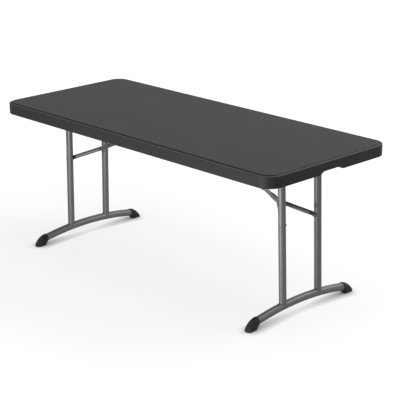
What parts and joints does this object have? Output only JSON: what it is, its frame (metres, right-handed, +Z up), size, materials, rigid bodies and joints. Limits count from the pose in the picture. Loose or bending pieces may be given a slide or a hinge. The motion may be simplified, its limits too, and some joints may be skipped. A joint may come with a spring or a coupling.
{
  "type": "folding catering table",
  "caption": "Long folding table with a moulded charcoal top, a skirt with hand-holds, and two grey steel leg frames with arched feet, black foot caps and knee braces.",
  "frame": {"origin": "on the floor under the middle of the top", "axes": "+X along the length towards the right end, +Y towards the back long edge, +Z up"},
  "size_m": [1.83, 0.76, 0.74],
  "materials": {
    "charcoal_plastic": "pebbled charcoal high-density plastic",
    "grey_steel": "silver-grey hammered powder coat on steel tube",
    "dark_steel": "dark grey powder coat on pressed steel",
    "black_plastic": "moulded black plastic with a fine grain",
    "zinc_steel": "zinc-plated steel rivets, pins and screws"
  },
  "bodies": {
    "table_top": {"tabletop": "charcoal_plastic", "front_rail": "dark_steel", "back_rail": "dark_steel", "left_front_axle_bush": "black_plastic", "left_back_axle_bush": "black_plastic", "right_front_axle_bush": "black_plastic", "right_back_axle_bush": "black_plastic", "rail_screw_1": "zinc_steel", "rail_screw_2": "zinc_steel", "rail_screw_3": "zinc_steel", "rail_screw_4": "zinc_steel", "rail_screw_5": "zinc_steel", "rail_screw_6": "zinc_steel", "rail_screw_7": "zinc_steel", "rail_screw_8": "zinc_steel", "bracket_screw_1": "zinc_steel", "bracket_screw_2": "zinc_steel", "bracket_screw_3": "zinc_steel", "bracket_screw_4": "zinc_steel", "left_strut_bracket": "dark_steel", "left_anchor_pin": "zinc_steel", "right_strut_bracket": "dark_steel", "right_anchor_pin": "zinc_steel"},
    "left_leg": {"left_leg_axle": "grey_steel", "left_foot_tube": "grey_steel", "left_front_upright": "grey_steel", "left_front_foot_cap": "black_plastic", "left_front_brace_rivet": "zinc_steel", "left_back_upright": "grey_steel", "left_back_foot_cap": "black_plastic", "left_back_brace_rivet": "zinc_steel"},
    "left_fork": {"left_front_brace_arm": "grey_steel", "left_front_knee_rivet": "zinc_steel", "left_back_brace_arm": "grey_steel", "left_back_knee_rivet": "zinc_steel"},
    "left_strut": {"left_brace_strut": "grey_steel"},
    "right_leg": {"right_leg_axle": "grey_steel", "right_foot_tube": "grey_steel", "right_front_upright": "grey_steel", "right_front_foot_cap": "black_plastic", "right_front_brace_rivet": "zinc_steel", "right_back_upright": "grey_steel", "right_back_foot_cap": "black_plastic", "right_back_brace_rivet": "zinc_steel"},
    "right_fork": {"right_front_brace_arm": "grey_steel", "right_front_knee_rivet": "zinc_steel", "right_back_brace_arm": "grey_steel", "right_back_knee_rivet": "zinc_steel"},
    "right_strut": {"right_brace_strut": "grey_steel"}
  },
  "joints": [
    {"name": "left_leg_fold", "type": "hinge", "parent": "table_top", "child": "left_leg", "pos_m": [-0.732, 0, 0.697], "axis": [0, -1, 0], "range_deg": [0, 90]},
    {"name": "left_fork_turn", "type": "hinge", "parent": "left_leg", "child": "left_fork", "pos_m": [-0.73915, 0, 0.42409], "axis": [0, -1, 0], "range_deg": [0, 66.91]},
    {"name": "left_strut_turn", "type": "hinge", "parent": "table_top", "child": "left_strut", "pos_m": [-0.137, 0, 0.697], "axis": [0, 1, 0], "range_deg": [0, 23.13]},
    {"name": "right_leg_fold", "type": "hinge", "parent": "table_top", "child": "right_leg", "pos_m": [0.732, 0, 0.697], "axis": [0, 1, 0], "range_deg": [0, 90]},
    {"name": "right_fork_turn", "type": "hinge", "parent": "right_leg", "child": "right_fork", "pos_m": [0.73915, 0, 0.42409], "axis": [0, 1, 0], "range_deg": [0, 66.91]},
    {"name": "right_strut_turn", "type": "hinge", "parent": "table_top", "child": "right_strut", "pos_m": [0.137, 0, 0.697], "axis": [0, -1, 0], "range_deg": [0, 23.13]}
  ],
  "couplings": [
    {"joint": "left_fork_turn", "follows": "left_leg_fold", "ratio": 0.74322},
    {"joint": "left_strut_turn", "follows": "left_leg_fold", "ratio": 0.25678},
    {"joint": "right_fork_turn", "follows": "right_leg_fold", "ratio": 0.74322},
    {"joint": "right_strut_turn", "follows": "right_leg_fold", "ratio": 0.25678}
  ]
}
